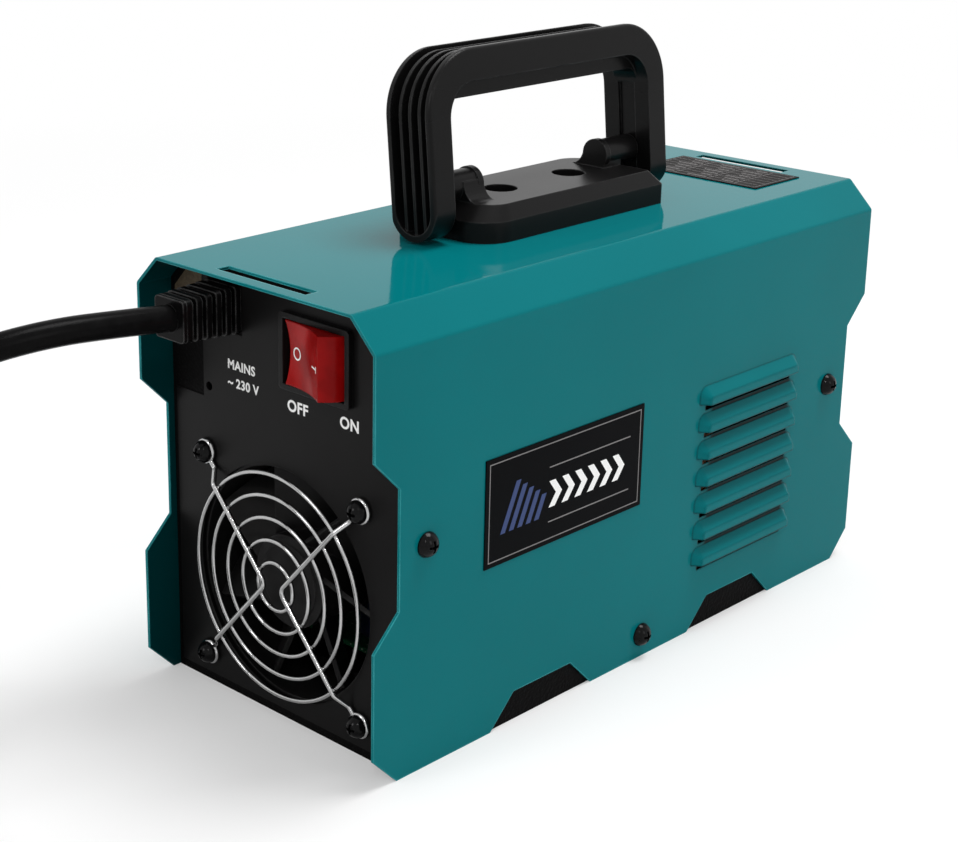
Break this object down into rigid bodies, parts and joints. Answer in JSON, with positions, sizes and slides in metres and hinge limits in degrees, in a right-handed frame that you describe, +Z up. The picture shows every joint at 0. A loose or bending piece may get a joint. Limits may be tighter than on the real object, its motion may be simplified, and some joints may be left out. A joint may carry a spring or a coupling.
{
  "type": "stick welder",
  "caption": "Portable inverter welding power source in a folded sheet-metal case with a fold-down carry handle, end fan, rocker switch and mains lead.",
  "frame": {"origin": "on the floor under the middle of the case", "axes": "+Z up, -Y out of the mains end with the lead, switch and fan, +Y out of the output end, +X out of the side on the right when facing the output end from behind the mains end"},
  "size_m": [0.1552, 0.4949, 0.2101],
  "materials": {
    "case_paint": "gloss teal enamel",
    "chassis_paint": "textured black powder coat",
    "panel_film": "printed black film",
    "black_screws": "black oxide steel",
    "zinc_steel": "zinc plated steel",
    "plates": "printed dark plate",
    "rating": "printed dark plate with pale text bars",
    "black_plastic": "fine texture black polyamide",
    "switch_red": "translucent red polycarbonate",
    "fan_plastic": "black fan plastic",
    "chrome_wire": "bright chrome",
    "rubber": "black rubber",
    "brass": "plain brass",
    "nickel": "nickel plated brass",
    "knob": "black knob",
    "window": "dark red window",
    "lamps": "amber and green lamps",
    "board": "green laminate",
    "heatsink": "extruded aluminium",
    "package": "black epoxy",
    "ferrite": "dark ferrite",
    "winding": "enamelled copper and yellow tape",
    "can": "sleeved aluminium can",
    "copper": "bare copper",
    "fibre": "tan fibre sheet"
  },
  "bodies": {
    "case": {"cover": "case_paint", "chassis_tray": "chassis_paint", "mains_end_panel": "chassis_paint", "mains_panel_film": "panel_film", "output_end_panel": "chassis_paint", "output_panel_film": "panel_film", "cover_screws": "black_screws", "clinch_nuts": "zinc_steel", "nameplate_right": "plates", "nameplate_left": "plates", "rating_plate": "rating", "handle_base": "black_plastic", "hinge_pins": "zinc_steel", "handle_screws": "zinc_steel", "handle_plate": "zinc_steel", "fan_frame": "fan_plastic", "fan_guard": "chrome_wire", "guard_screws": "black_screws", "fan_nuts": "zinc_steel", "switch_body": "black_plastic", "switch_tabs": "brass", "strain_relief": "rubber", "mains_cord": "rubber", "cord_coil": "rubber", "cord_tail": "rubber", "plug_body": "rubber", "plug_pins": "nickel", "socket_flanges": "black_plastic", "socket_contacts": "brass", "socket_nuts": "black_plastic", "potentiometer": "zinc_steel", "display_window": "window", "display_module": "package", "display_board": "board", "indicator_lamps": "lamps", "main_board": "board", "board_standoffs": "nickel", "board_screws": "zinc_steel", "heatsink_right": "heatsink", "heatsink_left": "heatsink", "power_transistors": "package", "transformer_core": "ferrite", "transformer_winding": "winding", "output_choke": "winding", "bus_capacitors": "can", "bridge_rectifier": "package", "inrush_relay": "package", "control_board": "board", "control_parts": "package", "output_busbars": "copper", "busbar_nuts": "zinc_steel", "insulation_sheet": "fibre"},
    "handle": {"handle_grip": "black_plastic"},
    "rocker": {"switch_rocker": "switch_red"},
    "fan": {"fan_rotor": "fan_plastic"},
    "knob": {"current_knob": "knob", "knob_shaft": "zinc_steel"}
  },
  "joints": [
    {"name": "handle_fold", "type": "hinge", "parent": "case", "child": "handle", "pos_m": [0, 0, 0.1645], "axis": [0, 1, 0], "range_deg": [-84.5, 95.5]},
    {"name": "rocker_tilt", "type": "hinge", "parent": "case", "child": "rocker", "pos_m": [0.0166, -0.1135, 0.1257], "axis": [0, 0, 1], "range_deg": [0, 28]},
    {"name": "fan_spin", "type": "hinge", "parent": "case", "child": "fan", "pos_m": [0, -0.1, 0.0468], "axis": [0, 1, 0], "continuous": true},
    {"name": "current_knob_turn", "type": "hinge", "parent": "case", "child": "knob", "pos_m": [0, 0.12, 0.092], "axis": [0, 1, 0], "range_deg": [-135, 135]}
  ]
}
